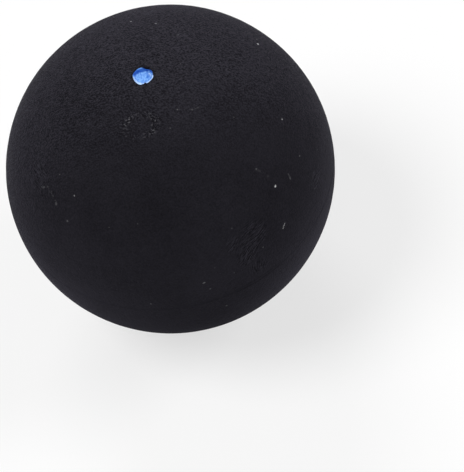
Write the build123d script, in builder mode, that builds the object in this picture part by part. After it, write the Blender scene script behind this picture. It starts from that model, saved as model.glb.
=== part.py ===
from build123d import *

import os
from math import asin, cos, degrees, radians, sin, sqrt, tan

# Squash ball: two moulded rubber half shells cemented rim to rim round a sealed air space.
# Millimetres, +Z up, origin at the ball's centre. The seam lies in the XY plane, and the coloured speed
# dot sits on the +Z pole. The printed mark runs parallel to the seam, below it, on the +Y side.

# Ball and half shells
ball_diameter = 40.0
wall_thickness = 5.2
seam_chamfer = 0.1  # edge break on each rim, which leaves a fine groove round the ball

# Cement between the two rims
cement_thickness = 0.15
bead_radius = 0.6  # cement squeezed out along the seam inside the ball

# Speed dot: a moulded recess on the pole, lined with paint
recess_diameter = 2.6
recess_depth = 0.46  # of the recess wall, from the edge of its mouth down to the floor
recess_floor_round = 0.15
recess_mouth_round = 0.06
paint_thickness = 0.12  # at the middle of the recess floor
paint_edge_gap = 0.02  # from the paint's edge up to where the mouth's rounding starts

# Printed mark: a row of plain slanted bars
bar_count = 11
bar_width = 1.5
bar_gap = 1.5  # between neighbours along the row
bar_height = 3.6
bar_slant = 15.0  # degrees from upright
bar_corner_round = 0.3
ink_thickness = 0.05
print_seam_gap = 1.7  # over the surface, from the seam down to the top of the row
print_longitude = 90.0  # degrees from +X, at the middle of the row

# Worked out from the sizes above
ball_radius = ball_diameter / 2
cavity_radius = ball_radius - wall_thickness
rim_height = cement_thickness / 2
rim_radius = sqrt(ball_radius**2 - rim_height**2)
cement_outer_radius = rim_radius - seam_chamfer
cement_inner_radius = cavity_radius - bead_radius / 2

recess_radius = recess_diameter / 2
recess_mouth_height = sqrt(ball_radius**2 - recess_radius**2)
recess_floor_height = recess_mouth_height - recess_depth
paint_edge_height = recess_mouth_height - recess_mouth_round - paint_edge_gap
paint_middle_height = recess_floor_height + paint_thickness
paint_dish_depth = paint_edge_height - paint_middle_height
paint_dish_radius = (recess_radius**2 + paint_dish_depth**2) / (2 * paint_dish_depth)
paint_dish_angle = degrees(asin(recess_radius / paint_dish_radius))

print_latitude = -(print_seam_gap + bar_height / 2) / ball_radius  # radians
bar_step_angle = degrees((bar_width + bar_gap) / (ball_radius * cos(print_latitude)))
bar_lean = bar_height * tan(radians(bar_slant)) / 2
bar_half_diagonal = sqrt((bar_width / 2 + bar_lean) ** 2 + (bar_height / 2) ** 2)
bar_start_radius = sqrt(ball_radius**2 - bar_half_diagonal**2) - ink_thickness


def bar_plane(index):
    """Workplane of one printed bar, just under the ball's surface, facing outwards with its Y axis north."""
    longitude = radians(print_longitude + (index - (bar_count - 1) / 2) * bar_step_angle)
    row_radius = cos(print_latitude)
    outwards = Vector(row_radius * cos(longitude), row_radius * sin(longitude), sin(print_latitude))
    east = Vector(-sin(longitude), cos(longitude), 0)
    return Plane(origin=outwards * bar_start_radius, x_dir=east, z_dir=outwards)


# Lower half: a hemispherical cup with a flat rim, its outer edge broken
with BuildPart() as print_half_shell:
    with BuildSketch(Plane.XZ):
        Circle(ball_radius)
        Circle(cavity_radius, mode=Mode.SUBTRACT)
        with Locations((0, -rim_height)):
            Rectangle(ball_radius, ball_radius, align=(Align.MIN, Align.MAX), mode=Mode.INTERSECT)
    revolve(axis=Axis.Z)
    rim_edges = print_half_shell.faces().filter_by(Axis.Z).edges().sort_by(SortBy.RADIUS)
    chamfer(rim_edges[-1], seam_chamfer)
print_half_shell.part.label = "print_half_shell"

# Upper half: the same moulding turned over, with the dot's recess in its pole
with BuildPart() as dot_half_shell:
    mirror(print_half_shell.part, about=Plane.XY)
    with Locations((0, 0, recess_floor_height)):
        Cylinder(
            recess_radius,
            ball_radius - recess_floor_height,
            align=(Align.CENTER, Align.CENTER, Align.MIN),
            mode=Mode.SUBTRACT,
        )
    recess_edges = dot_half_shell.edges().filter_by(GeomType.CIRCLE).group_by(SortBy.RADIUS)[0]
    fillet(recess_edges.sort_by(Axis.Z)[0], recess_floor_round)
    mouth_edges = dot_half_shell.edges().filter_by(GeomType.CIRCLE).group_by(Axis.Z)[-1]
    fillet(mouth_edges.sort_by(SortBy.RADIUS)[-1], recess_mouth_round)
dot_half_shell.part.label = "dot_half_shell"

# Cement: a film between the two flat rims, with the squeezed-out bead inside
with BuildPart() as seam_cement:
    with BuildSketch(Plane.XZ):
        with Locations((cavity_radius, 0)):
            Circle(bead_radius)
        Circle(cavity_radius, mode=Mode.INTERSECT)
        with Locations((cement_inner_radius, 0)):
            Rectangle(
                cement_outer_radius - cement_inner_radius,
                cement_thickness,
                align=(Align.MIN, Align.CENTER),
            )
    revolve(axis=Axis.Z)
seam_cement.part.label = "seam_cement"

# Speed dot: paint that lines the recess, dished towards its middle
with BuildPart() as blue_dot:
    with BuildSketch(Plane.XZ) as dot_section:
        with BuildLine():
            Polyline(
                (0, paint_middle_height),
                (0, recess_floor_height),
                (recess_radius, recess_floor_height),
                (recess_radius, paint_edge_height),
            )
            CenterArc((0, paint_middle_height + paint_dish_radius), paint_dish_radius, -90, paint_dish_angle)
        make_face()
        floor_corners = dot_section.vertices().group_by(Axis.Y)[0]
        fillet(floor_corners.sort_by(Axis.X)[-1], recess_floor_round)
    revolve(axis=Axis.Z)
blue_dot.part.label = "blue_dot"

# Printed mark: each bar is a patch of ink film on the lower half's surface
with BuildPart() as print_bars:
    with BuildSketch(*[bar_plane(index) for index in range(bar_count)]) as bar_outlines:
        with BuildLine():
            Polyline(
                (-bar_width / 2 - bar_lean, -bar_height / 2),
                (bar_width / 2 - bar_lean, -bar_height / 2),
                (bar_width / 2 + bar_lean, bar_height / 2),
                (-bar_width / 2 + bar_lean, bar_height / 2),
                close=True,
            )
        make_face()
        fillet(bar_outlines.vertices(), bar_corner_round)
    extrude(amount=ball_radius + 2 * ink_thickness - bar_start_radius)
    Sphere(ball_radius + ink_thickness, mode=Mode.INTERSECT)
    Sphere(ball_radius, mode=Mode.SUBTRACT)
print_bars.part.label = "print_bars"

os.makedirs("parts", exist_ok=True)
for piece in (dot_half_shell, print_half_shell, seam_cement, blue_dot, print_bars):
    export_step(piece.part, f"parts/{piece.part.label}.step")
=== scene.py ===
"""A squash ball: two buffed rubber half shells, a cemented seam, a painted dot and printed bars."""

import math

import bmesh
import bpy
from mathutils import Matrix, Vector, noise


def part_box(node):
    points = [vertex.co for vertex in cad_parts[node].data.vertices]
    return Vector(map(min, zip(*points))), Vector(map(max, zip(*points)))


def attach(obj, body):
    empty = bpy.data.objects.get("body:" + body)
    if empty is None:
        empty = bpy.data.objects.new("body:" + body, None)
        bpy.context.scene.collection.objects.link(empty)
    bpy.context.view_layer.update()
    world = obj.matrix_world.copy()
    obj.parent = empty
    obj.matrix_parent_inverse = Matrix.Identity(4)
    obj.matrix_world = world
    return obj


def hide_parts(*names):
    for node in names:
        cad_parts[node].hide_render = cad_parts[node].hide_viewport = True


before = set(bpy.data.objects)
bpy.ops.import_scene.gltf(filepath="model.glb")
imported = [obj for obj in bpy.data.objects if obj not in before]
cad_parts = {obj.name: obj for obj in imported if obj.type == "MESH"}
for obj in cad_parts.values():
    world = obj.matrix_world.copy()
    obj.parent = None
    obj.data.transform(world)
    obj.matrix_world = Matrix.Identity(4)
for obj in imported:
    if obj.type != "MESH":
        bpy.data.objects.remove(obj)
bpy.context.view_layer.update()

MM = 0.001

# Sizes read off the frame's own pieces
BALL_RADIUS = -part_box("print_half_shell")[0].z
RIM_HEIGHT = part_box("dot_half_shell")[0].z
CEMENT_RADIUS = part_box("seam_cement")[1].x
BEAD_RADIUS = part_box("seam_cement")[1].z
RECESS_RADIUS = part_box("blue_dot")[1].x
RECESS_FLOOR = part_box("blue_dot")[0].z

# Sizes that the frame's boxes don't give, as the solids have them
WALL = 5.2 * MM
SEAM_CHAMFER = 0.1 * MM
RECESS_FLOOR_ROUND = 0.15 * MM
RECESS_MOUTH_ROUND = 0.06 * MM
PAINT_THICKNESS = 0.12 * MM
BAR_COUNT = 11
BAR_WIDTH = 1.5 * MM
BAR_GAP = 1.5 * MM
BAR_HEIGHT = 3.6 * MM
BAR_SLANT = math.radians(15)
BAR_CORNER_ROUND = 0.3 * MM
INK_THICKNESS = 0.05 * MM
PRINT_SEAM_GAP = 1.7 * MM
PRINT_LONGITUDE = math.radians(90)

CAVITY_RADIUS = BALL_RADIUS - WALL
RECESS_MOUTH = math.sqrt(BALL_RADIUS**2 - RECESS_RADIUS**2)
RECESS_FLOOR_CORNER = (RECESS_RADIUS - RECESS_FLOOR_ROUND, RECESS_FLOOR + RECESS_FLOOR_ROUND)

# How finely the pieces are divided. Round pieces are turned as one wedge, which is then doubled
# until it closes, so the number of wedges is a power of two
WEDGES = 16
SHELL_SEGMENTS = 480
SKIN_RINGS = 150
CAVITY_RINGS = 18
RECESS_ROUND_STEPS = 4
BEAD_STEPS = 12
DOT_SEGMENTS = 160
DOT_RINGS = 18
PAINT_ROUND_STEPS = 3
BAR_COLUMNS = 12
BAR_ROWS = 28
FLOOR_SEGMENTS = 64
MOST_VERTICES = 100_000
MERGE_DISTANCE = 1e-7
SHARP_EDGE = math.radians(35)

# The buffed surface: slow waves left by the mould, sunk so that they stay inside the true ball, and
# the shallow ripple of the buffing wheel, with its falloff, lacunarity and octaves
WAVE_HEIGHT = 0.02 * MM
WAVE_LENGTH = 9 * MM
WAVE_SINK = 0.5
RIPPLE_HEIGHT = 0.008 * MM
RIPPLE_LENGTH = 0.9 * MM
RIPPLE_FRACTAL = (0.6, 2, 3)
SKIN_DEPTH = 0.8 * MM

# A shallow oval mark of the mould beside the dot, longer along X, with a broken ridge round it, and
# the places where crumbs cling to that ridge, as latitude and longitude in degrees
MARK_PLACE = (71, -108.3)
MARK_RADIUS = 1.35 * MM
MARK_STRETCH = 1.42
MARK_DEPTH = 0.02 * MM
MARK_RIDGE = 0.015 * MM
MARK_RIDGE_WIDTH = 0.3 * MM
MARK_RIDGE_LEVEL = 0.6
MARK_BREAK_LENGTH = 0.5 * MM
MARK_CRUMBS = [(73.3, -89.5), (69.2, -96.2), (73.4, -126)]

# Wear of the recess's mouth: how far it lies outside its true circle in millimetres, the azimuth of
# that place and its width to each side in degrees. The first two are the small tooth
MOUTH_WEAR = [
    (-0.27, -91, 6),
    (-0.1, -104, 6),
    (0.05, -116, 24),
    (-0.05, -48, 12),
    (-0.05, -68, 16),
    (-0.16, 50, 50),
    (-0.11, 130, 26),
    (-0.11, -8, 18),
    (-0.11, -175, 24),
    (-0.04, -140, 16),
    (-0.07, 66, 14),
]
MOUTH_CRUMBLE = 0.02
MOUTH_CRUMB_WIDTH = 14
MOUTH_WEAR_START = RECESS_RADIUS / 2
MOUTH_WEAR_END = 2.5 * RECESS_RADIUS

# How full of cement the seam's groove is, as a share: its limits, its slow swing round the ball,
# and its hollows with their depth, azimuth and width to each side in degrees. Then the dip along its
# middle, and the angles between which the bead shows inside
SEAM_FULL = 0.97
SEAM_LEAST = 0.25
SEAM_SWING = 0.15
SEAM_SWING_RADIUS = 2.2
SEAM_HOLLOWS = [(0.1, -73, 8), (0.5, 75, 60)]
SEAM_DIP = 0.012 * MM
BEAD_START, BEAD_END = 97, 263

# The dot's paint, by azimuth in degrees and by share of the recess's radius. The brush drew it away
# from one side, where it stayed thin and chalky; that pale chalk also paints the light that the near
# lip catches. It pooled on the far wall, below a pale lip, and left a pale crest at the pool's end;
# the pool's deep blue also paints the far wall's shade. The dry place, the pool's tongues, the lip
# and the crest are humps: height, azimuth, and width to each side
THIN_PAINT = -110
PAINT_BELOW_MOUTH = 0.03 * MM
PAINT_CLIMB = 0.7
PAINT_CLIMB_SWING = 0.12
DRY_PAINT = (0.8, 48, 34)
DRY_RAGGED = 0.1
DRY_RAGGED_WIDTH = 20
LUMP_HEIGHT = 0.02 * MM
LUMP_LENGTH = 0.45 * MM
LUMP_FRACTAL = (0.7, 2, 3)
LUMPS_END = 0.8
POOL_BEGINS = (-22, 4)
POOL_ENDS = (152, 178)
POOL_START = 0.85
POOL_TONGUES = [(0.46, 88, 40), (0.16, 138, 20), (0.1, 42, 18), (0.12, 10, 16)]
POOL_FADE = 0.2
POOL_SHADE_DEPTH = 1.2
CHALK_START = 0.8
CHALK_START_SWING = 0.2
CHALK_FADE = 0.16
CHALK_LIGHT_LEVEL = 0.8
CHALK_SWING = 0.2
FAR_LIP = (1.2, 102, 17)
FAR_LIP_FADE = (0.84, 0.95)
CREST = (0.6, 4, 36)
CREST_PLACE = 0.7
CREST_SLOPE = 0.004
CREST_WIDTH = 0.14

# The bars' edges are ragged and their ink is thinner there
BAR_EDGE_POWER = 6
BAR_RAGGED_HEIGHT = 0.035 * MM
BAR_RAGGED_LENGTH = 0.35 * MM
BAR_EDGE_LOSS = 0.5

# Rows of the noise, one for each of these, so that they don't look alike
MOUTH_NOISE_ROW = 3.1
SEAM_NOISE_ROW = 7.7
PAINT_NOISE_ROW = 0.4

# Light fluff and nicks on the skin: latitude and longitude in degrees, width in millimetres, and
# paleness
FLUFF = [
    (29, -50, 0.3, 1.0),
    (38.6, -24, 0.27, 0.85),
    (41.6, 17.9, 0.34, 0.7),
    (39.8, 22, 0.22, 0.3),
    (42, -142, 0.19, 0.4),
    (10.5, -90, 0.28, 0.2),
    (6.7, -88.6, 0.24, 0.16),
    (38.9, -51.9, 0.2, 0.12),
    (26.4, -32.5, 0.24, 0.2),
    (45, -154, 0.2, 0.18),
    (32, -142, 0.32, 0.11),
    (3.5, -109.7, 0.25, 0.17),
    (72.1, -63.7, 0.2, 0.11),
    (68.7, -53, 0.2, 0.09),
    (67.6, -48, 0.2, 0.05),
    (59.4, 87.6, 0.27, 0.38),
    (63.5, 69.3, 0.26, 0.3),
    (67.8, 45.2, 0.24, 0.2),
    (13.1, -66.2, 0.24, 0.12),
    (-6.5, -84.6, 0.26, 0.12),
    (67.8, -79.9, 0.2, 0.06),
]

# Scuffs and scratches: the places they run through, width in millimetres, paleness, and how broken
# they are
SCUFFS = [
    ([(15.2, -54.6), (13.8, -56.3)], 0.16, 0.6, 0),
    ([(35.6, -160.7), (37.9, -157), (37.4, -153.1), (35.2, -149.6)], 0.55, 0.085, 1),
    ([(72.1, -63.7), (68.7, -53), (67.6, -48)], 0.3, 0.03, 1),
    ([(38.9, -51.9), (33.8, -49.7)], 0.4, 0.03, 1),
    ([(27.4, -42.2), (25.5, -42.7)], 0.22, 0.13, 0.3),
]

# Patches of streaks from the buffing wheel: the middle, a place that the streaks run towards, reach
# in millimetres, strength
STREAKS = [
    ((20.4, -67.5), (21.1, -63), 2.6, 1.0),
    ((14.3, -72.2), (16.4, -69.5), 2.0, 1.0),
    ((21.6, -76), (22.8, -74.1), 1.5, 0.9),
    ((6.6, -70.3), (4.7, -70.4), 1.5, 0.8),
    ((13.2, -33), (12.9, -31.5), 1.6, 1.2),
    ((37.7, -164.7), (37.7, -160.3), 2.2, 1.8),
]

# Broad paler and darker clouds in the rubber's tone: the middle, reach in millimetres, strength. The
# last two are painted light, paler low on the front and high on the back
TONE_AND_LIGHT_CLOUDS = [
    ((71.5, -6), 7, 0.08),
    ((63, -165), 8, -0.07),
    ((40, -56), 6, -0.05),
    # Painted light: these two lighten the ball low on the front and high on the back
    ((8, -88), 9, 0.07),
    ((38, 70), 10, 0.07),
]

# Where cement was smeared beside the seam
SEAM_SMEAR = (0, -71)


def smooth_step(low, high, value):
    """0 below low, 1 above high, eased between."""
    t = min(max((value - low) / (high - low), 0), 1)
    return t * t * (3 - 2 * t)


def hump(angle, middle, width):
    """A smooth bump of height 1 at an angle, which fades over width to each side, in degrees."""
    apart = (angle - middle + 180) % 360 - 180
    return math.exp(-((apart / width) ** 2))


def humps(angle, rows):
    """The sum of several humps, each given as height, middle and width."""
    return sum(height * hump(angle, middle, width) for height, middle, width in rows)


def on_ball(latitude, longitude):
    """The point of the ball's surface at a latitude and longitude in degrees."""
    north, east = math.radians(latitude), math.radians(longitude)
    level = math.cos(north)
    return BALL_RADIUS * Vector((level * math.cos(east), level * math.sin(east), math.sin(north)))


def azimuth_of(place):
    """The azimuth round the Z axis of a point, in degrees."""
    return math.degrees(math.atan2(place.y, place.x))


def mould_mark(direction):
    """The oval mark beside the dot: a shallow flat with a broken ridge round it."""
    offset = direction * BALL_RADIUS - on_ball(*MARK_PLACE)
    offset.x /= MARK_STRETCH
    apart = offset.length
    if apart > 2 * MARK_RADIUS:
        return 0
    sunk = 1 - smooth_step(MARK_RADIUS - MARK_RIDGE_WIDTH, MARK_RADIUS, apart)
    ridge = math.exp(-(((apart - MARK_RADIUS) / MARK_RIDGE_WIDTH) ** 2))
    breaks = MARK_RIDGE_LEVEL + noise.noise(direction * (BALL_RADIUS / MARK_BREAK_LENGTH))
    return MARK_RIDGE * ridge * breaks - MARK_DEPTH * sunk


def relief(direction):
    """How far the buffed skin stands out from the true ball in that direction."""
    wave = noise.noise(direction * (BALL_RADIUS / WAVE_LENGTH)) - WAVE_SINK
    ripple = noise.fractal(direction * (BALL_RADIUS / RIPPLE_LENGTH), *RIPPLE_FRACTAL)
    return WAVE_HEIGHT * wave + RIPPLE_HEIGHT * ripple + mould_mark(direction)


def mouth_wander(azimuth):
    """How far the recess's worn mouth lies outside its true circle, at an azimuth in degrees."""
    crumble = noise.noise(Vector((azimuth / MOUTH_CRUMB_WIDTH, MOUTH_NOISE_ROW, 0)))
    return MM * (humps(azimuth, MOUTH_WEAR) + MOUTH_CRUMBLE * crumble)


def weather(bm):
    """Gives vertices near the ball's surface the buffed relief, and the recess its worn mouth."""
    skin_start, skin_end = BALL_RADIUS - SKIN_DEPTH, BALL_RADIUS - SKIN_DEPTH / 2
    for v in bm.verts:
        depth_share = smooth_step(skin_start, skin_end, v.co.length)
        if not depth_share:
            continue
        direction = v.co.normalized()
        v.co += direction * relief(direction) * depth_share
        across = v.co.xy.length
        if v.co.z > 0 and MOUTH_WEAR_START < across < MOUTH_WEAR_END:
            share = smooth_step(MOUTH_WEAR_START, RECESS_RADIUS, across)
            share *= 1 - smooth_step(RECESS_RADIUS, MOUTH_WEAR_END, across)
            push = 1 + mouth_wander(azimuth_of(v.co)) * share / across
            v.co.x *= push
            v.co.y *= push


def arc(centre, radius, start, end, steps):
    """Points (r, z) on a circle of the half plane, between angles in degrees from the r axis."""
    points = []
    for step in range(steps + 1):
        angle = math.radians(start + (end - start) * step / steps)
        points.append((centre[0] + radius * math.cos(angle), centre[1] + radius * math.sin(angle)))
    return points


def lathe(profile, segments, closed=False):
    """A bmesh of the profile's points (r, z) turned round the Z axis."""
    bm = bmesh.new()
    verts = [bm.verts.new((r, 0, z)) for r, z in profile]
    pairs = list(zip(verts, verts[1:]))
    if closed:
        pairs.append((verts[-1], verts[0]))
    edges = [bm.edges.new(pair) for pair in pairs]
    turned = math.tau / WEDGES
    steps = segments // WEDGES
    line = verts + edges
    bmesh.ops.spin(bm, geom=line, cent=(0, 0, 0), axis=(0, 0, 1), angle=turned, steps=steps)
    while turned < math.tau:
        copy = bmesh.ops.duplicate(bm, geom=bm.verts[:] + bm.edges[:] + bm.faces[:])["geom"]
        corners = [item for item in copy if isinstance(item, bmesh.types.BMVert)]
        turn = Matrix.Rotation(turned, 3, "Z")
        bmesh.ops.rotate(bm, cent=(0, 0, 0), matrix=turn, verts=corners)
        turned *= 2
    bmesh.ops.remove_doubles(bm, verts=bm.verts[:], dist=MERGE_DISTANCE)
    bmesh.ops.recalc_face_normals(bm, faces=bm.faces[:])
    return bm


def face_order(face):
    """A number, made of three vertex indices, that gives faces the same order on each run."""
    first, second, third = sorted(v.index for v in face.verts)[:3]
    return (first * MOST_VERTICES + second) * MOST_VERTICES + third


def make_piece(name, bm, material, node):
    """Turns a bmesh into a smooth-shaded piece that stands for a CAD node."""
    bm.verts.index_update()
    bm.faces.sort(key=face_order)
    mesh = bpy.data.meshes.new(name)
    bm.to_mesh(mesh)
    bm.free()
    mesh.shade_smooth()
    mesh.set_sharp_from_angle(angle=SHARP_EDGE)
    mesh.materials.append(material)
    piece = bpy.data.objects.new(name, mesh)
    bpy.context.scene.collection.objects.link(piece)
    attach(piece, "root")
    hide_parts(node)


def rim_profile(side):
    """The section that both half shells share: skin from near the pole, rim, and cavity wall."""
    skin_end = math.degrees(math.asin((RIM_HEIGHT + SEAM_CHAMFER) / BALL_RADIUS))
    land_end = math.degrees(math.asin(RIM_HEIGHT / CAVITY_RADIUS))
    skin_start = 90
    if side > 0:
        skin_start = math.degrees(math.acos((RECESS_RADIUS + RECESS_MOUTH_ROUND) / BALL_RADIUS))
    points = arc((0, 0), BALL_RADIUS, skin_start, skin_end, SKIN_RINGS)
    points.append((CEMENT_RADIUS, RIM_HEIGHT))
    points += arc((0, 0), CAVITY_RADIUS, land_end, 90, CAVITY_RINGS)
    return [(max(r, 0), side * z) for r, z in points]


def dot_half():
    """The upper half shell, with the dot's recess in its pole."""
    recess = [(0, RECESS_FLOOR), (RECESS_RADIUS / 2, RECESS_FLOOR)]
    recess += arc(RECESS_FLOOR_CORNER, RECESS_FLOOR_ROUND, -90, 0, RECESS_ROUND_STEPS)
    mouth_corner = (RECESS_RADIUS + RECESS_MOUTH_ROUND, RECESS_MOUTH - RECESS_MOUTH_ROUND)
    recess += arc(mouth_corner, RECESS_MOUTH_ROUND, 180, 110, RECESS_ROUND_STEPS)
    bm = lathe(recess + rim_profile(1), SHELL_SEGMENTS)
    weather(bm)
    return bm


def print_half():
    """The lower half shell, which carries the print."""
    bm = lathe(rim_profile(-1), SHELL_SEGMENTS)
    weather(bm)
    return bm


def seam_fill(azimuth):
    """How full of cement the seam's groove is, from 0 to 1, at an azimuth in degrees."""
    turn = math.radians(azimuth)
    x, y = SEAM_SWING_RADIUS * math.cos(turn), SEAM_SWING_RADIUS * math.sin(turn)
    level = SEAM_FULL + SEAM_SWING * noise.noise(Vector((x, y, SEAM_NOISE_ROW)))
    level -= humps(azimuth, SEAM_HOLLOWS)
    return min(max(level, SEAM_LEAST), SEAM_FULL)


def seam_line():
    """The cement between the rims, which fills the groove outside unevenly, and its bead inside."""
    edge_r, edge_z = CEMENT_RADIUS + SEAM_CHAMFER, RIM_HEIGHT + SEAM_CHAMFER
    outside = [
        (CEMENT_RADIUS, -RIM_HEIGHT),
        (edge_r, -edge_z),
        (edge_r - SEAM_DIP, -edge_z / 3),
        (edge_r - SEAM_DIP, edge_z / 3),
        (edge_r, edge_z),
        (CEMENT_RADIUS, RIM_HEIGHT),
    ]
    bead = arc((CAVITY_RADIUS, 0), BEAD_RADIUS, BEAD_START, BEAD_END, BEAD_STEPS)
    bm = lathe(outside + bead, SHELL_SEGMENTS, closed=True)
    for v in bm.verts:
        across = v.co.xy.length
        if across > CEMENT_RADIUS + SEAM_CHAMFER / 2:
            level = seam_fill(azimuth_of(v.co))
            push = (CEMENT_RADIUS + (across - CEMENT_RADIUS) * level) / across
            rim = math.copysign(min(RIM_HEIGHT, abs(v.co.z)), v.co.z)
            v.co = (v.co.x * push, v.co.y * push, rim + (v.co.z - rim) * level)
    weather(bm)
    return bm


def paint_thinness(azimuth):
    """1 on the side that the brush drew the paint away from, -1 on the other."""
    return math.cos(math.radians(azimuth - THIN_PAINT))


def paint_climb(azimuth, share):
    """How far up the recess's wall the paint stands, from 0 to 1. One place stayed dry."""
    start = PAINT_CLIMB + PAINT_CLIMB_SWING * paint_thinness(azimuth)
    ragged = noise.noise(Vector((azimuth / DRY_RAGGED_WIDTH, PAINT_NOISE_ROW, 0)))
    dry = humps(azimuth, [DRY_PAINT]) + DRY_RAGGED * ragged
    return smooth_step(start, 1.0, share) * (1 - dry)


def paint_film_and_light(azimuth, share):
    """Paint film and painted light: chalky above 0, also painting the near lip's light, and deep
    below it where the paint pooled, also painting the far wall's shade.
    """
    thin = paint_thinness(azimuth)
    pool_and_shade = smooth_step(*POOL_BEGINS, azimuth) * (1 - smooth_step(*POOL_ENDS, azimuth))
    pool_start = POOL_START - humps(azimuth, POOL_TONGUES)
    deep_and_shade = POOL_SHADE_DEPTH * smooth_step(pool_start, pool_start + POOL_FADE, share)
    far_lip = humps(azimuth, [FAR_LIP]) * smooth_step(*FAR_LIP_FADE, share)
    chalk_start = CHALK_START - CHALK_START_SWING * max(thin, 0)
    chalk_and_light = smooth_step(chalk_start, chalk_start + CHALK_FADE, share)
    chalk_and_light *= CHALK_LIGHT_LEVEL + CHALK_SWING * thin
    off_crest = (share - CREST_PLACE + CREST_SLOPE * azimuth) / CREST_WIDTH
    crest = humps(azimuth, [CREST]) * math.exp(-(off_crest**2))
    return chalk_and_light * (1 - pool_and_shade) + pool_and_shade * (far_lip - deep_and_shade) + crest


def dot_paint():
    """The paint that lines the recess: thin up the near slope, pooled and steep on the far wall."""
    middle = RECESS_FLOOR + PAINT_THICKNESS
    rise = RECESS_MOUTH - PAINT_BELOW_MOUTH - middle
    top = [(RECESS_RADIUS * ring / DOT_RINGS, middle) for ring in range(DOT_RINGS + 1)]
    under = arc(RECESS_FLOOR_CORNER, RECESS_FLOOR_ROUND, -30, -90, PAINT_ROUND_STEPS)
    under += [(RECESS_RADIUS / 2, RECESS_FLOOR), (0, RECESS_FLOOR)]
    bm = lathe(top + under, DOT_SEGMENTS)
    film_and_light = bm.verts.layers.float.new("film_and_light")
    for v in bm.verts:
        if v.co.z < middle - PAINT_THICKNESS / 4:
            continue
        share = v.co.xy.length / RECESS_RADIUS
        azimuth = azimuth_of(v.co)
        lumps = noise.fractal(v.co / LUMP_LENGTH, *LUMP_FRACTAL)
        lumps *= 1 - smooth_step(LUMPS_END, 1.0, share)
        v.co.z += rise * paint_climb(azimuth, share) + LUMP_HEIGHT * lumps
        # The film's pale and deep ends are also painted light on the near lip and painted shade on
        # the far wall
        v[film_and_light] = paint_film_and_light(azimuth, share)
    weather(bm)
    return bm


def bar_outline(column, row):
    """Where a point of a bar's grid, from -1 to 1, lies on the leaning bar with rounded corners."""
    half_width, half_height = BAR_WIDTH / 2, BAR_HEIGHT / 2
    x, y = column * half_width, row * half_height
    over_x = (abs(x) - half_width + BAR_CORNER_ROUND) / BAR_CORNER_ROUND
    over_y = (abs(y) - half_height + BAR_CORNER_ROUND) / BAR_CORNER_ROUND
    if over_x > 0 and over_y > 0:
        pull = max(over_x, over_y) / math.hypot(over_x, over_y)
        x = math.copysign(half_width - BAR_CORNER_ROUND * (1 - over_x * pull), x)
        y = math.copysign(half_height - BAR_CORNER_ROUND * (1 - over_y * pull), y)
    return x + y * math.tan(BAR_SLANT), y


def printed_bars():
    """The row of ink bars, wrapped on the lower half's skin."""
    latitude = -(PRINT_SEAM_GAP + BAR_HEIGHT / 2) / BALL_RADIUS
    step = (BAR_WIDTH + BAR_GAP) / (BALL_RADIUS * math.cos(latitude))
    bars = bmesh.new()
    wear = bars.verts.layers.float.new("edge_wear")
    for index in range(BAR_COUNT):
        longitude = PRINT_LONGITUDE + (index - (BAR_COUNT - 1) / 2) * step
        turn = Matrix.Rotation(longitude, 3, "Z") @ Matrix.Rotation(-latitude, 3, "Y")
        made = bmesh.ops.create_grid(bars, x_segments=BAR_COLUMNS, y_segments=BAR_ROWS, size=1)
        faces = list(dict.fromkeys(face for v in made["verts"] for face in v.link_faces))
        for v in made["verts"]:
            v[wear] = max(abs(v.co.x), abs(v.co.y)) ** BAR_EDGE_POWER
            x, y = bar_outline(v.co.x, v.co.y)
            rough = noise.noise(Vector((x, y, index * MM)) / BAR_RAGGED_LENGTH)
            rough *= BAR_RAGGED_HEIGHT * v[wear]
            direction = turn @ Vector((BALL_RADIUS, x + rough, y + rough)).normalized()
            ink = INK_THICKNESS * (1 - BAR_EDGE_LOSS * v[wear])
            v.co = direction * (BALL_RADIUS + relief(direction) + ink)
        sides = bmesh.ops.extrude_face_region(bars, geom=faces)
        for v in [item for item in sides["geom"] if isinstance(item, bmesh.types.BMVert)]:
            v.co *= 1 - 2 * INK_THICKNESS / BALL_RADIUS
    bmesh.ops.recalc_face_normals(bars, faces=bars.faces[:])
    return bars


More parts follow.
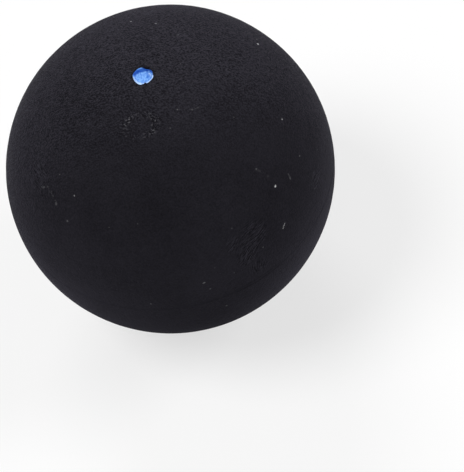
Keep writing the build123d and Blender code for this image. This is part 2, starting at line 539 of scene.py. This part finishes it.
class NodeSheet:
    """Short names for building one material's nodes."""

    def __init__(self, name):
        self.material = bpy.data.materials.new(name)
        self.material.use_nodes = True
        self.tree = self.material.node_tree
        self.shader = self.tree.nodes["Principled BSDF"]
        self.place = self.add("ShaderNodeTexCoord").outputs["Object"]

    def add(self, kind, inputs=None, **settings):
        """A new node with its settings, and its inputs set to values or linked to sockets."""
        node = self.tree.nodes.new(kind)
        for key, value in settings.items():
            setattr(node, key, value)
        for key, value in (inputs or {}).items():
            self.join(value, node.inputs[key])
        return node

    def join(self, value, socket):
        """Links a socket to an input, or sets the input to a plain value."""
        if isinstance(value, bpy.types.NodeSocket):
            self.tree.links.new(value, socket)
        else:
            socket.default_value = value

    def shade(self, **inputs):
        """Sets or links the shader's own sockets."""
        for key, value in inputs.items():
            self.join(value, self.shader.inputs[key.replace("_", " ")])

    def noise(self, size, detail=3.0, roughness=0.5, place=None):
        """Noise of about that grain size in metres, from 0 to 1."""
        inputs = {"Vector": place or self.place, "Scale": 1 / size}
        inputs.update({"Detail": detail, "Roughness": roughness})
        return self.add("ShaderNodeTexNoise", inputs).outputs["Fac"]

    def swing(self, size, **settings):
        """The same noise, from -0.5 to 0.5."""
        return self.math("SUBTRACT", self.noise(size, **settings), 0.5)

    def cells(self, size):
        """Distance to the nearest of points about that far apart, in parts of that spacing."""
        inputs = {"Vector": self.place, "Scale": 1 / size}
        return self.add("ShaderNodeTexVoronoi", inputs).outputs["Distance"]

    def math(self, operation, a, b=0.0):
        """One arithmetic step."""
        return self.add("ShaderNodeMath", {0: a, 1: b}, operation=operation).outputs["Value"]

    def vector(self, operation, a, b, output="Vector"):
        """One step of vector arithmetic."""
        return self.add("ShaderNodeVectorMath", {0: a, 1: b}, operation=operation).outputs[output]

    def sum(self, *parts):
        """The sum of (socket, weight) pairs."""
        total = self.math("MULTIPLY", *parts[0])
        for value, weight in parts[1:]:
            total = self.math("ADD", total, self.math("MULTIPLY", value, weight))
        return total

    def span(self, value, low, high, to_low=0.0, to_high=1.0):
        """Maps a value from one range to another, eased and clamped."""
        inputs = {"Value": value, "From Min": low, "From Max": high}
        inputs.update({"To Min": to_low, "To Max": to_high})
        node = self.add("ShaderNodeMapRange", inputs, interpolation_type="SMOOTHSTEP")
        return node.outputs["Result"]

    def mix(self, share, a, b):
        """A colour between a and b. The node's colour sockets are inputs 6 and 7 and output 2."""
        node = self.add("ShaderNodeMix", data_type="RGBA")
        self.join(share, node.inputs["Factor"])
        self.join(a, node.inputs[6])
        self.join(b, node.inputs[7])
        return node.outputs[2]

    def drawn_out(self, direction, length, width):
        """Coordinates in which a unit is that length along a direction and that width across it."""
        turn = Vector((1, 0, 0)).rotation_difference(direction).to_euler()
        inputs = {"Vector": self.place, "Rotation": turn, "Scale": (length, width, width)}
        return self.add("ShaderNodeMapping", inputs, vector_type="TEXTURE").outputs["Vector"]

    def from_point(self, point):
        """Distance from a point of the object."""
        return self.vector("DISTANCE", self.place, point, "Value")

    def from_line(self, start, end):
        """Distance from the straight line between two points of the object."""
        along = end - start
        offset = self.vector("SUBTRACT", self.place, start)
        share = self.vector("DOT_PRODUCT", offset, along / along.length_squared, "Value")
        share = self.add("ShaderNodeClamp", {"Value": share}).outputs["Result"]
        foot = self.add("ShaderNodeVectorMath", {0: along, "Scale": share}, operation="SCALE")
        return self.vector("DISTANCE", offset, foot.outputs["Vector"], "Value")

    def bump(self, height, distance):
        """Bump for the shader, where a height of 1 stands that far out in metres."""
        inputs = {"Height": height, "Distance": distance, "Strength": 1.0}
        self.shade(Normal=self.add("ShaderNodeBump", inputs).outputs["Normal"])


def seen_directly(tree):
    """A socket that is 1 on rays from the camera or by way of gloss or glass, and 0 on others."""
    path = tree.nodes.new("ShaderNodeLightPath")
    total = path.outputs["Is Camera Ray"]
    for name in ("Is Glossy Ray", "Is Transmission Ray"):
        add = tree.nodes.new("ShaderNodeMath")
        add.use_clamp = True
        tree.links.new(total, add.inputs[0])
        tree.links.new(path.outputs[name], add.inputs[1])
        total = add.outputs["Value"]
    return total


# Colours of the finishes. Pairs are the two ends of a mottled colour
DARK_RUBBER = (0.004, 0.0038, 0.0049, 1)
WORN_RUBBER = (0.032, 0.0305, 0.039, 1)
PALE_MARK = (0.75, 0.75, 0.77, 1)
CEMENT = [(0.008, 0.0076, 0.0098, 1), (0.025, 0.024, 0.0305, 1)]
EVEN_BLUE = [(0.08, 0.235, 0.71, 1), (0.205, 0.435, 0.87, 1)]
# The deep blue also paints the far wall's shade, and the chalky blue the light on the near lip
DEEP_BLUE_AND_SHADE = [(0.008, 0.08, 0.45, 1), (0.02, 0.12, 0.56, 1)]
CHALKY_BLUE_AND_LIGHT = [(0.39, 0.56, 0.88, 1), (0.5, 0.67, 0.95, 1)]
DIMPLE_SHADE_BLUE = (0.035, 0.18, 0.66, 1)
INK_WHITE = (0.72, 0.72, 0.75, 1)
INK_GONE = (0.02, 0.02, 0.024, 1)
RUBBER_SHEEN = {"Sheen_Weight": 0.06, "Sheen_Roughness": 0.6, "Sheen_Tint": (0.82, 0.78, 1, 1)}

# The rubber's grain, which is coarser at the back of the ball than in front
GRAIN_SIZE = 0.22 * MM
MOTTLE_SIZE = 0.8 * MM
CLOUD_SIZE = 6 * MM
CLOUD_STRENGTH = 0.3
PIT_SPACING = 0.6 * MM
PIT_EDGE = (0.06, 0.2)
COARSE_ALONG_Y = (-0.55 * BALL_RADIUS, 0.35 * BALL_RADIUS)
COARSENESS = (0.38, 2.1)
TORN_COARSENESS = 1.4
TONE_RANGE = (-0.45, 0.55)
GRAIN_BUMP = 0.2 * MM

# Its marks: how far they fade, and how pale the strewn ones are
RIDGE_FADE = (0.1 * MM, 0.5 * MM)
RIDGE_BARE = 0.2
CRUMB_REACH = (0.5 * MM, 1.5 * MM)
CRUMB_GRAIN = (0.05, 0.18)
CRUMB_PALENESS = 0.18
DUST_SPACING = 2.6 * MM
DUST_EDGE = (0.02, 0.045)
DUST_PALENESS = 0.06
RAGGED_EDGE = 0.5 * MM
SCUFF_GAP_SIZE = 0.5 * MM
SCUFF_GAP_EDGE = (-0.02, 0.12)
STREAK_LENGTH = 0.75 * MM
STREAK_WIDTH = 0.14 * MM
STREAK_CORE = 0.35
# Painted shade: the rubber is darkened round the recess's mouth, within this width
MOUTH_SHADE_WIDTH = 0.3 * MM
MOUTH_SHADE_DARKNESS = 0.6
SMEAR_HEIGHT = (0.2 * MM, 0.5 * MM)
SMEAR_LENGTH = (1.8 * MM, 4.2 * MM)
SMEAR_STRENGTH = (0.7, 0.04)

# The other finishes
CEMENT_STREAK_SIZE = 0.4 * MM
CEMENT_BUMP = 0.05 * MM
PAINT_PATCH_SIZE = 0.3 * MM
BRUSH_DIRECTION = Vector((0.35, 0.94, 0))
BRUSH_LENGTH = 0.6 * MM
BRUSH_WIDTH = 0.16 * MM
BRUSH_EDGE = (0.4, 0.6)
FILM_RAGGED = 1.1
# Where the film turns deep, which also paints the far wall's shade, and chalky, which also paints
# the near lip's light
DEEP_FILM_AND_SHADE = (-0.15, -1.3)
CHALKY_FILM_AND_LIGHT = (0.2, 0.7)
# Painted shade: a darker blue spot where a small dimple would hold shade; the paint has no dimple in
# its shape
DIMPLE_PLACE = Vector((0.46 * MM, -0.17 * MM, RECESS_FLOOR + PAINT_THICKNESS))
DIMPLE_FADE = (0.08 * MM, 0.22 * MM)
DIMPLE_STRENGTH = 0.95
PAINT_BUMP = 0.04 * MM
INK_SPECKLE_SIZE = 0.18 * MM
INK_EDGE_WEAR = 0.12
INK_PINHOLES = (0.64, 0.74)
INK_BUMP = 0.02 * MM


def torn_skin(sheet):
    """Where crumbs make the skin rougher, round the mould's mark, from 0 to 1."""
    offset = sheet.vector("SUBTRACT", sheet.place, on_ball(*MARK_PLACE))
    offset = sheet.vector("MULTIPLY", offset, (1 / MARK_STRETCH, 1, 1))
    apart = sheet.vector("DISTANCE", offset, (0, 0, 0), "Value")
    off_ridge = sheet.math("ABSOLUTE", sheet.math("SUBTRACT", apart, MARK_RADIUS))
    ridge = sheet.span(off_ridge, *RIDGE_FADE, 1, 0)
    clinging = RIDGE_BARE
    for place in MARK_CRUMBS:
        near = sheet.span(sheet.from_point(on_ball(*place)), *CRUMB_REACH, 1, 0)
        clinging = sheet.math("MAXIMUM", near, clinging)
    return sheet.math("MULTIPLY", ridge, clinging)


def rubber_marks(sheet, grain, torn):
    """How pale the skin is made by fluff, crumbs, nicks and scuffs, from 0 to 1."""
    ragged = sheet.math("MULTIPLY", grain, RAGGED_EDGE)
    dust = sheet.span(sheet.cells(DUST_SPACING), *DUST_EDGE, 1, 0)
    pale = sheet.math("MULTIPLY", dust, DUST_PALENESS)
    crumbs = sheet.span(grain, *CRUMB_GRAIN, 0, CRUMB_PALENESS)
    pale = sheet.math("MAXIMUM", pale, sheet.math("MULTIPLY", torn, crumbs))
    for latitude, longitude, width, strength in FLUFF:
        away = sheet.math("ADD", sheet.from_point(on_ball(latitude, longitude)), ragged)
        speck = sheet.span(away, width / 4 * MM, width / 2 * MM, strength, 0)
        pale = sheet.math("MAXIMUM", pale, speck)
    gaps = sheet.sum((grain, 0.7), (sheet.swing(SCUFF_GAP_SIZE, detail=1), 1.0))
    for places, width, strength, breaks in SCUFFS:
        points = [on_ball(*place) for place in places]
        for start, end in zip(points, points[1:]):
            away = sheet.math("ADD", sheet.from_line(start, end), ragged)
            stroke = sheet.span(away, width / 8 * MM, width / 2 * MM, strength, 0)
            unbroken = sheet.span(gaps, *SCUFF_GAP_EDGE, 1 - breaks, 1)
            pale = sheet.math("MAXIMUM", pale, sheet.math("MULTIPLY", stroke, unbroken))
    return pale


def buffing_streaks(sheet):
    """Short parallel streaks in a few patches, from -0.5 to 0.5, and 0 outside them."""
    total = 0.0
    for middle, towards, reach, strength in STREAKS:
        middle, towards = on_ball(*middle), on_ball(*towards)
        grid = sheet.drawn_out((towards - middle).normalized(), STREAK_LENGTH, STREAK_WIDTH)
        lines = sheet.swing(1, detail=1, place=grid)
        away = sheet.from_point(middle)
        near = sheet.span(away, STREAK_CORE * reach * MM, reach * MM, strength, 0)
        total = sheet.math("ADD", sheet.math("MULTIPLY", lines, near), total)
    return total


def tone_and_light_clouds(sheet):
    """Broad clouds in the rubber's tone, strewn by noise and placed by the list, two of which are
    painted light.
    """
    strewn = sheet.swing(CLOUD_SIZE, detail=3, roughness=0.55)
    total = sheet.math("MULTIPLY", strewn, CLOUD_STRENGTH)
    for middle, reach, strength in TONE_AND_LIGHT_CLOUDS:
        near = sheet.span(sheet.from_point(on_ball(*middle)), 0, reach * MM, strength, 0)
        total = sheet.math("ADD", total, near)
    return total


def buffed_rubber():
    """Black rubber, buffed matt: torn grain, pits, cloudy tone with two clouds of painted light,
    painted shade round the recess's mouth, and the marks of handling.
    """
    sheet = NodeSheet("buffed_rubber")
    grain = sheet.swing(GRAIN_SIZE, detail=2, roughness=0.6)
    mottle = sheet.swing(MOTTLE_SIZE, detail=2)
    clouds_and_light = tone_and_light_clouds(sheet)
    pits = sheet.span(sheet.cells(PIT_SPACING), *PIT_EDGE, 1, 0)
    streaks = buffing_streaks(sheet)
    torn = torn_skin(sheet)
    across = sheet.add("ShaderNodeSeparateXYZ", {"Vector": sheet.place}).outputs
    coarse = sheet.span(across["Y"], *COARSE_ALONG_Y, *COARSENESS)
    coarse = sheet.sum((coarse, 1.0), (torn, TORN_COARSENESS))
    tearing = sheet.math("MULTIPLY", grain, coarse)
    mottle = sheet.math("MULTIPLY", mottle, coarse)
    tone = sheet.sum((tearing, 1.6), (mottle, 0.32), (clouds_and_light, 1.0), (streaks, 1.9), (pits, -0.06))
    colour = sheet.mix(sheet.span(tone, *TONE_RANGE), DARK_RUBBER, WORN_RUBBER)
    # Painted shade round the recess's mouth: the rubber is darkened there
    to_mouth = sheet.from_point(Vector((0, 0, RECESS_MOUTH)))
    mouth_shade = sheet.span(to_mouth, RECESS_RADIUS, RECESS_RADIUS + MOUTH_SHADE_WIDTH, MOUTH_SHADE_DARKNESS, 0)
    colour = sheet.mix(mouth_shade, colour, DARK_RUBBER)
    smear = sheet.span(sheet.math("ABSOLUTE", across["Z"]), *SMEAR_HEIGHT, 1, 0)
    smear_reach = sheet.span(sheet.from_point(on_ball(*SEAM_SMEAR)), *SMEAR_LENGTH, *SMEAR_STRENGTH)
    colour = sheet.mix(sheet.math("MULTIPLY", smear, smear_reach), colour, DARK_RUBBER)
    colour = sheet.mix(rubber_marks(sheet, grain, torn), colour, PALE_MARK)
    sheet.shade(Base_Color=colour, Roughness=0.8, Specular_IOR_Level=0.007, **RUBBER_SHEEN)
    height = sheet.sum((tearing, 1.0), (mottle, 0.6), (streaks, 1.5), (pits, -0.2))
    sheet.bump(height, GRAIN_BUMP)
    return sheet.material


def dried_cement():
    """Dark rubber cement, streaked and as matt as the buffed skin."""
    sheet = NodeSheet("dried_cement")
    streaks = sheet.noise(CEMENT_STREAK_SIZE)
    colour = sheet.mix(streaks, *CEMENT)
    sheet.shade(Base_Color=colour, Roughness=0.8, Specular_IOR_Level=0.0, **RUBBER_SHEEN)
    sheet.bump(streaks, CEMENT_BUMP)
    return sheet.material


def blue_paint():
    """Bright blue paint: deep where it pooled and chalky where thin, which also paint the far wall's
    shade and the near lip's light, and streaked by the brush. A darker spot paints a small dimple's
    shade.
    """
    sheet = NodeSheet("blue_paint")
    film_and_light = sheet.add("ShaderNodeAttribute", attribute_name="film_and_light").outputs["Fac"]
    patches = sheet.noise(PAINT_PATCH_SIZE, detail=3, roughness=0.6)
    brushed = sheet.drawn_out(BRUSH_DIRECTION, BRUSH_LENGTH, BRUSH_WIDTH)
    hairs = sheet.noise(1, detail=2, place=brushed)
    body = sheet.sum((patches, 0.6), (hairs, 0.4))
    streak = sheet.span(body, *BRUSH_EDGE)
    ragged = sheet.math("MULTIPLY", sheet.math("SUBTRACT", patches, 0.5), FILM_RAGGED)
    worn = sheet.math("ADD", film_and_light, ragged)
    blue = sheet.mix(streak, *EVEN_BLUE)
    # Painted shade of a small dimple: a darker blue spot
    painted_dimple_shade = sheet.span(sheet.from_point(DIMPLE_PLACE), *DIMPLE_FADE, 1, 0)
    blue = sheet.mix(sheet.math("MULTIPLY", painted_dimple_shade, DIMPLE_STRENGTH), blue, DIMPLE_SHADE_BLUE)
    # Painted light: the deep blue stands for the far wall's shade as well as pooled paint, and the
    # chalky blue for the near lip's light as well as thin paint
    deep_and_shade = sheet.mix(streak, *DEEP_BLUE_AND_SHADE)
    chalk_and_light = sheet.mix(streak, *CHALKY_BLUE_AND_LIGHT)
    blue = sheet.mix(sheet.span(worn, *DEEP_FILM_AND_SHADE), blue, deep_and_shade)
    blue = sheet.mix(sheet.span(worn, *CHALKY_FILM_AND_LIGHT), blue, chalk_and_light)
    sheet.shade(Base_Color=blue, Roughness=0.45, Specular_IOR_Level=0.15)
    sheet.bump(body, PAINT_BUMP)
    return sheet.material


def white_ink():
    """White printing ink, with pinholes and worn edges that show the rubber."""
    sheet = NodeSheet("white_ink")
    wear = sheet.add("ShaderNodeAttribute", attribute_name="edge_wear").outputs["Fac"]
    speckle = sheet.noise(INK_SPECKLE_SIZE, detail=3, roughness=0.65)
    worn = sheet.math("ADD", speckle, sheet.math("MULTIPLY", wear, INK_EDGE_WEAR))
    colour = sheet.mix(sheet.span(worn, *INK_PINHOLES), INK_WHITE, INK_GONE)
    sheet.shade(Base_Color=colour, Roughness=0.7, Specular_IOR_Level=0.2)
    sheet.bump(speckle, INK_BUMP)
    return sheet.material


# Camera: where the photograph was taken from, with the ball up and left of the middle of the frame
CAMERA_DISTANCE = 0.45
CAMERA_ELEVATION = math.radians(54.91)
CAMERA_ROLL = math.radians(16.33)
CAMERA_LENS = 282.06
AIM_RIGHT = 7.48 * MM
AIM_DOWN = 8.14 * MM

# Soft lamps: the longitude and latitude that each shines from, in degrees, and its strength against
# a white that just reads white. The ball lies on a light table, so the last four shine up through
# the floor
LAMPS = {
    "right_lamp": (0, 32, 0.46),
    "back_lamp": (90, 32, 0.42),
    "left_lamp": (180, 60, 0.58),
    "right_table_lamp": (36, -38, 0.29),
    "back_table_lamp": (72, -38, 0.35),
    "left_table_lamp": (112, -38, 0.4),
    "front_table_lamp": (252, -38, 0.18),
}
LAMP_BREADTH = math.radians(30)
ROOM_COLOUR = (1, 1, 1, 1)
ROOM_LIGHT = 0.13

# The floor is seen pale, with a soft shadow, and throws only some of the light back up at the ball
FLOOR_RADIUS = 3
FLOOR_COLOUR = (0.92, 0.92, 0.92, 1)
FLOOR_BOUNCE = (0.3, 0.3, 0.3, 1)
FLOOR_GLOW = 0.65


def place_camera():
    """A long lens that looks down on the ball from the front, rolled a little."""
    back = Vector((0, -math.cos(CAMERA_ELEVATION), math.sin(CAMERA_ELEVATION)))
    level_up = Vector((0, math.sin(CAMERA_ELEVATION), math.cos(CAMERA_ELEVATION)))
    level_right = level_up.cross(back)
    right = level_right * math.cos(CAMERA_ROLL) - level_up * math.sin(CAMERA_ROLL)
    up = level_right * math.sin(CAMERA_ROLL) + level_up * math.cos(CAMERA_ROLL)
    place = back * CAMERA_DISTANCE
    look = (right * AIM_RIGHT - up * AIM_DOWN - place).normalized()
    across = look.cross(up).normalized()
    turn = Matrix((across, across.cross(look), -look)).transposed().to_4x4()
    lens = bpy.data.cameras.new("camera")
    lens.lens = CAMERA_LENS
    camera = bpy.data.objects.new("camera", lens)
    camera.matrix_world = Matrix.Translation(place) @ turn
    bpy.context.scene.collection.objects.link(camera)
    bpy.context.scene.camera = camera


def hang_lamps():
    """Broad, soft lamps above and below, and a dim even room that is seen white."""
    for name, (longitude, latitude, strength) in LAMPS.items():
        lamp = bpy.data.lights.new(name, "SUN")
        lamp.energy = math.pi * strength
        lamp.angle = LAMP_BREADTH
        holder = bpy.data.objects.new(name, lamp)
        holder.rotation_mode = "QUATERNION"
        holder.rotation_quaternion = on_ball(latitude, longitude).to_track_quat("Z", "Y")
        bpy.context.scene.collection.objects.link(holder)
    world = bpy.data.worlds.new("room")
    world.use_nodes = True
    bpy.context.scene.world = world
    tree = world.node_tree
    level = tree.nodes.new("ShaderNodeMapRange")
    level.inputs["To Min"].default_value = ROOM_LIGHT
    tree.links.new(seen_directly(tree), level.inputs["Value"])
    background = tree.nodes["Background"]
    background.inputs["Color"].default_value = ROOM_COLOUR
    tree.links.new(level.outputs["Result"], background.inputs["Strength"])


def lay_floor():
    """A plain pale floor under the ball. It casts no shadow, so light comes up through it."""
    bm = bmesh.new()
    under_ball = Matrix.Translation((0, 0, -BALL_RADIUS))
    bmesh.ops.create_circle(
        bm, cap_ends=True, segments=FLOOR_SEGMENTS, radius=FLOOR_RADIUS, matrix=under_ball
    )
    mesh = bpy.data.meshes.new("floor")
    bm.to_mesh(mesh)
    bm.free()
    sheet = NodeSheet("pale_floor")
    seen = seen_directly(sheet.tree)
    colour = sheet.mix(seen, FLOOR_BOUNCE, FLOOR_COLOUR)
    sheet.shade(Base_Color=colour, Roughness=1.0, Specular_IOR_Level=0.0)
    white = sheet.add("ShaderNodeEmission").outputs["Emission"]
    share = sheet.math("MULTIPLY", seen, FLOOR_GLOW)
    layers = {0: share, 1: sheet.shader.outputs["BSDF"], 2: white}
    surface = sheet.add("ShaderNodeMixShader", layers).outputs["Shader"]
    sheet.join(surface, sheet.tree.nodes["Material Output"].inputs["Surface"])
    mesh.materials.append(sheet.material)
    floor = bpy.data.objects.new("floor", mesh)
    floor.visible_shadow = False
    bpy.context.scene.collection.objects.link(floor)


rubber = buffed_rubber()
make_piece("buffed_dot_half", dot_half(), rubber, "dot_half_shell")
make_piece("buffed_print_half", print_half(), rubber, "print_half_shell")
make_piece("seam_line", seam_line(), dried_cement(), "seam_cement")
make_piece("dot_paint", dot_paint(), blue_paint(), "blue_dot")
make_piece("ink_bars", printed_bars(), white_ink(), "print_bars")

place_camera()
hang_lamps()
lay_floor()
bpy.context.scene.view_settings.view_transform = "Standard"
